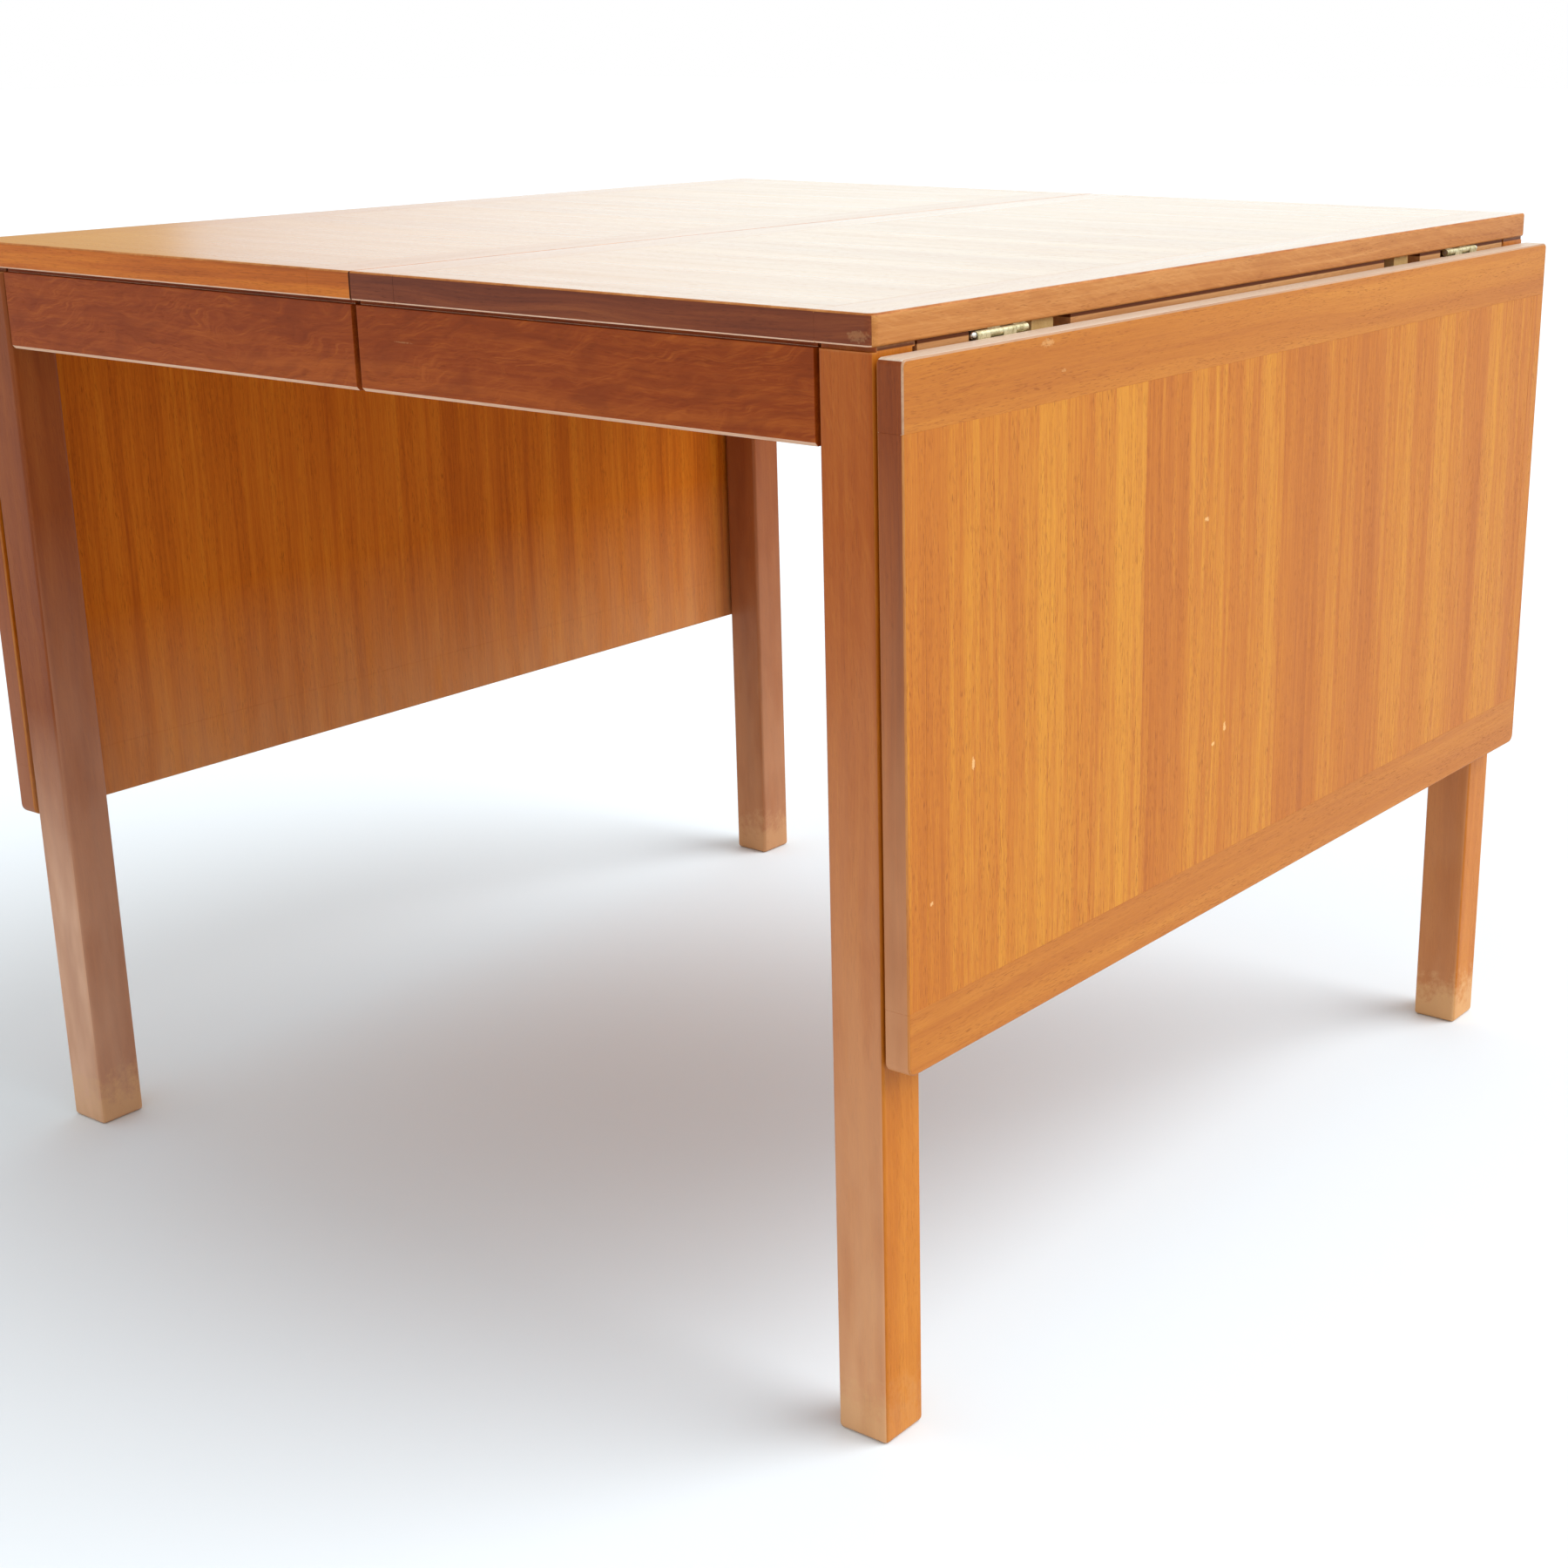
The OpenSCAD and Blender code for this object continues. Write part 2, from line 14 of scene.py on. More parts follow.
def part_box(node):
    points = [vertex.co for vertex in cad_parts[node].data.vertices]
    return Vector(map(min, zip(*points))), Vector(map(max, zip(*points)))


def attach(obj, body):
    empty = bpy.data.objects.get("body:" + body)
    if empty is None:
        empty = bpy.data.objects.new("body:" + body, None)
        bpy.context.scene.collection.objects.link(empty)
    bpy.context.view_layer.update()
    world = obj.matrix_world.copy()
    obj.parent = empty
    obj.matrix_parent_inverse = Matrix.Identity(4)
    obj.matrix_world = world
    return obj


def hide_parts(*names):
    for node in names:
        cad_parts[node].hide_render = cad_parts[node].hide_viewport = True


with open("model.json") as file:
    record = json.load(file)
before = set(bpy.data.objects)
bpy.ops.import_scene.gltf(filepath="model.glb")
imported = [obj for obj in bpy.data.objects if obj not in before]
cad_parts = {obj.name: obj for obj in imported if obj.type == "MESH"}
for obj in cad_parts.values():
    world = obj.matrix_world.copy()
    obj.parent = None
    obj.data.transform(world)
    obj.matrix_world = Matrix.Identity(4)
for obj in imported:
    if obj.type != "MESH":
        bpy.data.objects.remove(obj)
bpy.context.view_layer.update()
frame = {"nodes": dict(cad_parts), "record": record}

MM = 0.001
# Which way outwards is along X on each side, and which way each end faces along Y
OUT = {"right": 1, "left": -1}
FACING = {"front": -1, "back": 1}


# ---- Node trees ----

class Tree:
    """Adds shader nodes to one tree. An input is a number, a tuple or another node's output."""

    def __init__(self, tree):
        self.tree = tree
        tree.nodes.clear()

    def add(self, kind, inputs=None, **settings):
        made = self.tree.nodes.new(kind)
        for key, value in settings.items():
            setattr(made, key, value)
        for key, value in (inputs or {}).items():
            if isinstance(value, bpy.types.NodeSocket):
                self.tree.links.new(value, made.inputs[key])
            else:
                made.inputs[key].default_value = value
        return made

    def math(self, operation, *values, clamp=False):
        inputs = dict(enumerate(values))
        return self.add("ShaderNodeMath", inputs, operation=operation, use_clamp=clamp).outputs[0]

    def dot(self, a, b):
        inputs = {0: a, 1: b}
        return self.add("ShaderNodeVectorMath", inputs, operation="DOT_PRODUCT").outputs["Value"]

    def split(self, vector):
        return self.add("ShaderNodeSeparateXYZ", {0: vector}).outputs

    def join(self, x, y, z):
        return self.add("ShaderNodeCombineXYZ", {0: x, 1: y, 2: z}).outputs[0]

    def noise(self, vector, detail=2.0, roughness=0.5, distortion=0.0):
        inputs = {
            "Vector": vector, "Scale": 1.0, "Detail": detail, "Roughness": roughness,
            "Distortion": distortion,
        }
        return self.add("ShaderNodeTexNoise", inputs).outputs[0]

    def span(self, value, low, high, to_low=0.0, to_high=1.0):
        """value, taken from low..high to to_low..to_high, and held there."""
        inputs = {0: value, 1: low, 2: high, 3: to_low, 4: to_high}
        return self.add("ShaderNodeMapRange", inputs, clamp=True).outputs[0]

    def spread(self, noise):
        """Noise taken from its usual range to 0..1."""
        return self.span(noise, 0.3, 0.7)

    def ramp(self, value, stops):
        """value as a colour, from (place, colour) stops."""
        made = self.add("ShaderNodeValToRGB", {0: value})
        elements = made.color_ramp.elements
        while len(elements) < len(stops):
            elements.new(0.5)
        for element, (place, colour) in zip(elements, stops):
            element.position = place
            element.color = (*colour, 1.0)
        return made.outputs[0]

    def mix(self, amount, a, b, blend="MIX"):
        made = self.add("ShaderNodeMix", data_type="RGBA", blend_type=blend)
        for key, value in ((0, amount), (6, a), (7, b)):
            if isinstance(value, bpy.types.NodeSocket):
                self.tree.links.new(value, made.inputs[key])
            else:
                made.inputs[key].default_value = value if key == 0 else (*value, 1.0)
        return made.outputs[2]

    def sum(self, *terms):
        """The sum of (weight, value) pairs, each value taken about its middle of 0.5, plus 0.5."""
        total = 0.5
        for weight, value in terms:
            centred = self.math("SUBTRACT", value, 0.5)
            total = self.math("MULTIPLY_ADD", centred, weight, total)
        return total


def linear(*rgb):
    """A colour given as sRGB display values from 0 to 255, as linear light."""
    return tuple(((v / 255 + 0.055) / 1.055) ** 2.4 if v > 10 else v / 255 / 12.92 for v in rgb)


def new_material(name):
    material = bpy.data.materials.new(name)
    material.use_nodes = True
    return material, Tree(material.node_tree)


# ---- Wood ----

AXES = {"x": 0, "y": 1, "z": 2}

# How long along the grain, and how wide across it, the features of each pattern are, in metres
DRIFTS, WIDE_BANDS, THIN_LINES = (0.22, 0.05), (0.6, 0.020), (0.03, 0.0011)
STRIP_WOBBLES, PORE_DASHES, PORE_CROWDS = (0.30, 0.12), (0.007, 0.0006), (0.08, 0.010)
FLECK_EDDIES, FLECK_CHIPS, FLECK_CURLS = (0.055, 0.024), (0.016, 0.0017), (0.045, 0.012)
SHEEN_CLOUDS, WORN_PATCHES, GLOSS_SMEARS = (0.08, 0.02), (0.03, 0.011), (0.30, 0.03)
# The same for patterns that are as long as they are wide
SCUFFS, FRAYS = 11 * MM, 1.6 * MM

# How far along and into the wood the next veneer strip starts, and how its number picks its tone
STRIP_ALONG, STRIP_DEEP, STRIP_PICK = 13 * MM, 3.1 * MM, 0.73
# How light a veneer strip is across its width, from just after one joint to just before the next
STRIP_SHADES = [
    (0.0, (0.40,) * 3), (0.25, (0.30,) * 3), (0.50, (0.42,) * 3), (0.72, (0.70,) * 3), (0.97, (0.95,) * 3),
    (1.0, (0.70,) * 3),
]
# Where on a wood's tone its dark, middle and light colours stand
DARK_AT, MID_AT, LIGHT_AT = 0.08, 0.5, 0.92
# A worn foot is bare up to the first height and as dark as the leg from the second. Noise moves both of
# these up and down, within a span of the third.
FOOT_BARE_Z, FOOT_WORN_Z, FOOT_RAGGED = 18 * MM, 45 * MM, 90 * MM
# The painted shade of the gap under the top changes to its dark colour over this much height on either side
PAINTED_SHADE_BLUR = 0.3 * MM
WORN_EDGE_R = 2.2 * MM
GRAIN_RELIEF = 0.12 * MM
COAT_ROUGHNESS = 0.2


class Grain:
    """Places along a wood's grain, across it and into it, and patterns drawn out along the grain."""

    def __init__(self, t, grain, across, seed):
        self.t, self.seed = t, seed
        self.place = t.split(t.add("ShaderNodeTexCoord").outputs["Object"])
        self.across = self.place[AXES[across]]
        depth = ({"x", "y", "z"} - {grain, across}).pop()
        starts = (t.math("ADD", self.place[AXES[axis]], seed) for axis in (grain, across, depth))
        self.along, self.side, self.deep = starts

    def pattern(self, size, side=None, **options):
        """Noise with features that are size[0] long and size[1] wide."""
        spot = (self.along, self.side if side is None else side, self.deep)
        return self.noise(spot, (size[0], size[1], size[1]), **options)

    def round_pattern(self, size, **options):
        return self.noise(self.place, (size, size, size), **options)

    def noise(self, spot, sizes, **options):
        t = self.t
        return t.noise(t.join(*(t.math("DIVIDE", v, by) for v, by in zip(spot, sizes))), **options)

    def cut_into_strips(self, width):
        """Starts the grain anew in each strip. index is a point's strip, part how far across it that is."""
        t = self.t
        turns = t.math("DIVIDE", self.across, width)
        self.index = t.math("FLOOR", turns)
        self.part = t.math("FRACT", turns)
        self.side = t.math("MULTIPLY_ADD", self.part, width, self.seed)
        self.deep = t.math("MULTIPLY_ADD", self.index, STRIP_DEEP, self.deep)
        self.along = t.math("MULTIPLY_ADD", self.index, STRIP_ALONG, self.along)

    def wander(self, reach):
        """Lets the lines of the grain drift sideways."""
        t = self.t
        drift = t.math("SUBTRACT", self.pattern(DRIFTS, detail=1.0), 0.5)
        self.side = t.math("MULTIPLY_ADD", drift, reach * 2, self.side)


def strip_tones(g, profile):
    """Weighted tones that shade each strip across its width and set it off from the next one."""
    t = g.t
    lot = t.noise(t.join(t.math("MULTIPLY", g.index, STRIP_PICK), g.seed, g.seed), detail=0.0)
    wobble = t.math("SUBTRACT", g.pattern(STRIP_WOBBLES), 0.5)
    slack = t.math("MULTIPLY", wobble, t.math("SUBTRACT", 1.0, g.part))
    shade = t.ramp(t.math("MULTIPLY_ADD", slack, 0.9, g.part), STRIP_SHADES)
    swing = t.math("MULTIPLY", t.math("SUBTRACT", shade, 0.5), t.span(lot, 0.35, 0.65, 0.35, 1.0))
    return [(profile, t.math("ADD", swing, 0.5)), (profile * 0.5, t.span(lot, 0.65, 0.35))]


def with_flecks(g, colour, dark, light, amount, slope, swirl):
    """Adds the shiny chips and the dark eddies of curly wood, which run at a slope to its grain."""
    t = g.t
    slant = t.math("MULTIPLY_ADD", g.along, slope, g.side)
    eddy = t.math("SUBTRACT", g.pattern(FLECK_EDDIES, distortion=0.6), 0.5)
    slant = t.math("MULTIPLY_ADD", eddy, swirl, slant)
    chips = g.pattern(FLECK_CHIPS, slant, detail=2.5, roughness=0.6)
    curl = g.pattern(FLECK_CURLS, slant, detail=3.0, distortion=0.6)
    shine = t.math("MULTIPLY", t.span(chips, 0.46, 0.74), t.span(curl, 0.38, 0.62, 0.15, 1.0))
    colour = t.mix(t.math("MULTIPLY", shine, amount), colour, light)
    shade = t.span(curl, 0.30, 0.50, 1.0, 0.0)
    return t.mix(t.math("MULTIPLY", shade, amount * 0.6), colour, dark)


def pore_cells(g):
    """Short dark dashes along the grain, more of them in some places than in others."""
    t = g.t
    dash = t.span(g.pattern(PORE_DASHES, detail=1.0), 0.58, 0.68)
    crowd = t.span(g.pattern(PORE_CROWDS), 0.35, 0.62, 0.25, 1.0)
    return t.math("MULTIPLY", dash, crowd)


def with_painted_floor_sheen(g, colour, low, high, sheen_colour, amount):
    """Paints a reflection of the floor: turns a wood pale towards it, by up to amount below low and not at
    all above high.
    """
    t = g.t
    cloud = t.span(g.pattern(SHEEN_CLOUDS), 0.3, 0.6, 0.7, 1.0)
    painted_sheen_veil = t.math("MULTIPLY", t.span(g.place[2], low, high, amount, 0.0), cloud)
    return t.mix(painted_sheen_veil, colour, sheen_colour)


def with_bare_foot(g, colour, amount):
    """Wears the finish off the lowest part of a leg, with a ragged upper limit."""
    t = g.t
    scuffs = t.math("SUBTRACT", g.round_pattern(SCUFFS, detail=4.0, roughness=0.7), 0.5)
    height = t.math("MULTIPLY_ADD", scuffs, FOOT_RAGGED, g.place[2])
    return t.mix(t.span(height, FOOT_WORN_Z, FOOT_BARE_Z, 0.0, amount), colour, FOOT_PALE)


def with_marks(g, colour, marks, amount):
    """Adds small pale spots with frayed outlines, on the side of the table that faces +X or -Y."""
    t = g.t
    frayed = g.round_pattern(FRAYS)
    for axis, middle, z, half_width, half_height in marks:
        outwards = g.place[0] if axis == "y" else t.math("MULTIPLY", g.place[1], -1.0)
        across = t.math("DIVIDE", t.math("SUBTRACT", g.place[AXES[axis]], middle), half_width)
        up = t.math("DIVIDE", t.math("SUBTRACT", g.place[2], z), half_height)
        reach = t.math("ADD", t.math("MULTIPLY", across, across), t.math("MULTIPLY", up, up))
        ragged = t.math("MULTIPLY_ADD", frayed, 2.4, reach)
        on_this_side = t.math("GREATER_THAN", outwards, 0.0)
        spot = t.math("MULTIPLY", t.span(ragged, 2.0, 1.4, 0.0, amount), on_this_side)
        colour = t.mix(spot, colour, MARK_PALE)
    return colour


def with_worn_edges(g, colour, amount):
    """Makes the edges paler, more in some places than in others."""
    t = g.t
    smooth = t.add("ShaderNodeBevel", {"Radius": WORN_EDGE_R}, samples=4).outputs[0]
    flat = t.add("ShaderNodeNewGeometry").outputs["Normal"]
    corner = t.span(t.dot(smooth, flat), 0.985, 0.90)
    patchy = t.span(g.pattern(WORN_PATCHES, detail=3.0, roughness=0.65), 0.34, 0.62, 0.3, 1.0)
    worn = t.math("MULTIPLY", corner, patchy)
    return t.mix(t.math("MULTIPLY", worn, amount), colour, EDGE_PALE)


def wood(
    name, grain, across, dark, mid, light, pore, *, seed,
    strip=0.0, profile=0.0, broad=0.6, lines=0.3, fine=0.2, ring_w=4.2 * MM, line_l=0.3, wander=4 * MM,
    flecks=0.0, fleck_slope=0.25, swirl=0.0, pores=0.4, painted_sheen=None, bare_foot=0.0, painted_shade_above=None,
    marks=(), mark_amount=0.6, worn_edges=0.0, roughness=0.44, specular=0.2, coat=0.0, relief=0.35,
):
    """A wood with its grain along one axis and its figure spread across another.

    broad, lines and fine are the strengths of its wide bands, of its rings, which are ring_w wide and
    line_l long, and of its thinnest lines. With strip, it is laid side by side in strips of that width,
    and profile is how much they differ. flecks, pores, mark_amount, worn_edges and bare_foot are from 0
    to 1.
    """
    material, t = new_material(name)
    g = Grain(t, grain, across, seed)
    if strip:
        g.cut_into_strips(strip)
    g.wander(wander)

    wide = t.spread(g.pattern(WIDE_BANDS, detail=3.0, roughness=0.6))
    rings = t.spread(g.pattern((line_l, ring_w), detail=3.0, roughness=0.65))
    thin = t.spread(g.pattern(THIN_LINES, detail=3.0, roughness=0.7))
    terms = [(broad, wide), (lines, rings), (fine, thin)]
    if strip:
        terms += strip_tones(g, profile)
    colour = t.ramp(t.sum(*terms), [(DARK_AT, dark), (MID_AT, mid), (LIGHT_AT, light)])

    if flecks:
        colour = with_flecks(g, colour, dark, light, flecks, fleck_slope, swirl)
    cells = pore_cells(g)
    colour = t.mix(t.math("MULTIPLY", cells, pores), colour, pore)
    # Painted reflection of the floor, paler towards the floor
    if painted_sheen:
        colour = with_painted_floor_sheen(g, colour, *painted_sheen)
    if bare_foot:
        colour = with_bare_foot(g, colour, bare_foot)
    # Painted shade: dark above this height, for the shade in the gap under the top
    if painted_shade_above:
        in_painted_shade = t.span(g.place[2], painted_shade_above - PAINTED_SHADE_BLUR, painted_shade_above + PAINTED_SHADE_BLUR)
        colour = t.mix(in_painted_shade, colour, GAP_PAINTED_SHADE)
    if marks:
        colour = with_marks(g, colour, marks, mark_amount)
    if worn_edges:
        colour = with_worn_edges(g, colour, worn_edges)

    height = t.sum((0.35, thin), (-0.9, cells), (0.25, rings))
    bump = {"Strength": relief, "Distance": GRAIN_RELIEF, "Height": height}
    grooves = t.add("ShaderNodeBump", bump).outputs[0]
    smear = g.pattern(GLOSS_SMEARS, detail=3.0, roughness=0.6)
    smeared = t.span(smear, 0.3, 0.7, roughness - 0.02, roughness + 0.03)
    gloss = t.math("ADD", smeared, t.math("MULTIPLY", cells, 0.12))
    shader = t.add(
        "ShaderNodeBsdfPrincipled", {"Base Color": colour, "Roughness": gloss, "Normal": grooves})
    shader.inputs["Specular IOR Level"].default_value = specular
    shader.inputs["Coat Weight"].default_value = coat
    shader.inputs["Coat Roughness"].default_value = COAT_ROUGHNESS
    t.add("ShaderNodeOutputMaterial", {0: shader.outputs[0]})
    return material


# ---- The table's woods ----

def shades(dark, mid, light, pore):
    return dict(dark=linear(*dark), mid=linear(*mid), light=linear(*light), pore=linear(*pore))


MARK_PALE, FOOT_PALE, EDGE_PALE = linear(240, 196, 134), linear(222, 178, 124), linear(226, 164, 104)
# The colour of the painted shade in the gap under the top
GAP_PAINTED_SHADE = linear(92, 44, 14)
HONEY = shades((160, 84, 20), (184, 106, 27), (206, 138, 38), (124, 58, 14))
TOP_HONEY = shades((159, 95, 26), (179, 115, 35), (197, 136, 46), (141, 77, 21))
BAND = shades((166, 92, 28), (183, 110, 35), (198, 128, 46), (134, 70, 22))
TOP_BAND = shades((160, 94, 27), (178, 112, 35), (194, 131, 45), (141, 77, 22))
END_LIPPING = shades((162, 96, 44), (184, 119, 58), (206, 146, 84), (130, 72, 34))
HINGE_LIPPING = shades((190, 164, 142), (210, 188, 166), (222, 204, 186), (160, 128, 104))
SIDE_LIPPING = shades((120, 52, 16), (144, 68, 20), (166, 88, 28), (94, 42, 14))
ORANGE_LIPPING = shades((160, 76, 13), (190, 97, 21), (210, 120, 32), (124, 55, 12))
DARK_LIPPING = shades((94, 40, 20), (122, 57, 27), (150, 80, 38), (72, 32, 16))
BACKING = shades((164, 77, 15), (194, 103, 21), (210, 124, 30), (116, 52, 12))
APRON = shades((116, 44, 8), (142, 60, 13), (174, 88, 28), (86, 35, 10))
# The end rails are pale as painted light, for the light that reaches them in the gap under the top
RAIL_PAINTED_LIGHT = shades((178, 122, 74), (198, 146, 94), (214, 168, 116), (140, 88, 50))
BEECH = shades((192, 152, 90), (208, 172, 108), (222, 190, 130), (160, 116, 64))
ARRIS = shades((162, 90, 36), (182, 111, 50), (200, 134, 72), (134, 72, 30))
LIP_ARRIS = shades((158, 116, 86), (180, 138, 106), (198, 158, 126), (138, 98, 70))
# Pale as a painted reflection of the floor, for arrises and chamfers that face down
FLOOR_SHEEN_ARRIS = shades((206, 156, 122), (224, 184, 154), (234, 204, 180), (180, 130, 100))
SEAM_DARK = shades((58, 26, 12), (78, 36, 16), (98, 48, 22), (44, 20, 10))
LEG = shades((152, 68, 14), (172, 86, 22), (192, 112, 40), (120, 54, 14))
# The right front leg's sides are lighter than its front and back as painted light on its sides
LEG_SIDE_PAINTED_LIGHT = shades((168, 90, 18), (187, 108, 24), (204, 130, 40), (130, 66, 14))
BACK_LEG = shades((152, 76, 20), (170, 92, 28), (188, 114, 46), (118, 58, 16))
# The right back leg's sides are lighter than its front and back as painted light on its sides
BACK_LEG_SIDE_PAINTED_LIGHT = shades((170, 94, 24), (189, 111, 34), (206, 134, 54), (130, 70, 20))
# The left legs' wood is darker as painted shade, for the shade they stand in under the table
LEFT_LEG_PAINTED_SHADE = shades((120, 52, 12), (140, 68, 18), (160, 88, 32), (94, 40, 10))

# Painted reflection of the floor: from what height to what height a wood turns pale towards the floor, the
# pale colour, and how much of it
LEG_PAINTED_SHEEN = (0.03, 0.60, linear(230, 176, 130), 0.72)
BACK_LEG_PAINTED_SHEEN = (0.03, 0.60, linear(218, 162, 116), 0.48)
LEFT_LEG_PAINTED_SHEEN = (0.18, 0.36, linear(230, 184, 152), 0.80)
LEFT_LEG_SIDE_PAINTED_SHEEN = (0.10, 0.52, linear(232, 188, 156), 0.50)
FAR_LEG_PAINTED_SHEEN = (0.03, 0.60, linear(216, 158, 112), 0.46)
FAR_LEG_SIDE_PAINTED_SHEEN = (0.10, 0.50, linear(218, 166, 124), 0.40)
LEAF_PAINTED_SHEEN = (0.27, 0.66, linear(212, 150, 104), 0.8)
FAR_LEAF_PAINTED_SHEEN = (0.27, 0.50, linear(206, 148, 108), 0.3)
BACKING_PAINTED_SHEEN = (0.265, 0.42, linear(204, 158, 114), 0.48)

# Each leg wood, its colours, the axis across its grain, its painted reflection of the floor, and how bare
# its foot is worn
LEG_WOODS = (
    ("leg", LEG, "x", LEG_PAINTED_SHEEN, 0.35),
    ("leg_side", LEG_SIDE_PAINTED_LIGHT, "y", None, 0.14),
    ("back_leg", BACK_LEG, "x", BACK_LEG_PAINTED_SHEEN, 0.6),
    ("back_leg_side", BACK_LEG_SIDE_PAINTED_LIGHT, "y", None, 0.55),
    ("left_leg", LEFT_LEG_PAINTED_SHADE, "x", LEFT_LEG_PAINTED_SHEEN, 0.3),
    ("left_leg_side", LEFT_LEG_PAINTED_SHADE, "y", LEFT_LEG_SIDE_PAINTED_SHEEN, 0.45),
    ("far_leg", LEFT_LEG_PAINTED_SHADE, "x", FAR_LEG_PAINTED_SHEEN, 0.3),
    ("far_leg_side", LEFT_LEG_PAINTED_SHADE, "y", FAR_LEG_SIDE_PAINTED_SHEEN, 0.3),
)

# Small worn spots: along which axis they are placed, where, at what height, and half their width and height
LEAF_MARKS = (
    ("y", -0.3815, 0.450, 0.0020, 0.0048), ("y", -0.4250, 0.372, 0.0026, 0.0016),
    ("y", -0.1065, 0.556, 0.0045, 0.0020), ("y", -0.0740, 0.401, 0.0024, 0.0040),
    ("y", -0.0896, 0.392, 0.0026, 0.0016),
)
HINGE_BAND_MARKS = (("y", -0.304, 0.6955, 0.0080, 0.0032), ("y", -0.286, 0.677, 0.0030, 0.0012))
CORNER_MARKS = (("x", 0.4240, 0.7120, 0.0090, 0.0042),)
APRON_MARKS = (("x", 0.046, 0.6815, 0.0110, 0.0007),)

VENEER_STRIP_W = 93.5 * MM
# At the table's ends the shade in the gap under the top is only painted shade on its rails and legs, this
# high
END_PAINTED_SHADE_H = 2.3 * MM
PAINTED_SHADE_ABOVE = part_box("right_front_leg")[1].z - END_PAINTED_SHADE_H
# A board's grain, the axis through it, its colours, the painted reflection of the floor on its back, its
# marks, its finish, and how strong its figure is.
# A leaf's grain runs down it as it hangs, and along x once it is raised.
BOARD_WOODS = {
    "top": dict(
        grain="x", through="z", honey=TOP_HONEY, band=TOP_BAND, back_painted_sheen=None, marks=(), band_marks=(),
        finish=dict(roughness=0.28, specular=0.35, coat=0.3, relief=0.006, pores=0.2), vivid=0.38),
    "leaf": dict(
        grain="z", through="x", honey=HONEY, band=BAND, back_painted_sheen=BACKING_PAINTED_SHEEN, marks=LEAF_MARKS,
        band_marks=HINGE_BAND_MARKS,
        finish=dict(roughness=0.44, specular=0.2, relief=0.25, pores=0.6), vivid=0.9),
}


def board_woods(board, grain, through, honey, band, back_painted_sheen, marks, band_marks, finish, vivid):
    """The woods of a top half or a leaf: its veneers, its strips, and the lipping along its free end."""
    fine = 0.3 * vivid
    return {
        board + "_panel": wood(
            board + "_strip_matched_veneer", grain, "y", **honey, **finish, strip=VENEER_STRIP_W,
            profile=0.5 * vivid, broad=0.36 * vivid, lines=0.3 * vivid, fine=fine, marks=marks, seed=1.7),
        board + "_band": wood(
            board + "_crossband", "y", grain, **band, **finish, broad=0.45 * vivid, lines=0.25 * vivid,
            fine=0.28 * vivid, marks=band_marks, mark_amount=0.25, seed=3.1),
        board + "_strip": wood(
            board + "_side_strip", grain, "y", **honey, **finish, broad=0.45 * vivid, lines=0.3 * vivid,
            fine=fine, seed=5.3),
        board + "_back": wood(
            board + "_backing_veneer", grain, "y", **BACKING, broad=0.5, fine=0.3, ring_w=3.4 * MM,
            line_l=0.5, pores=0.5, specular=0.05, roughness=0.65, painted_sheen=back_painted_sheen, seed=7.9),
        board + "_end_lip": wood(
            board + "_end_lipping", "y", through, **END_LIPPING, broad=0.5, flecks=0.45, seed=9.2),
    }


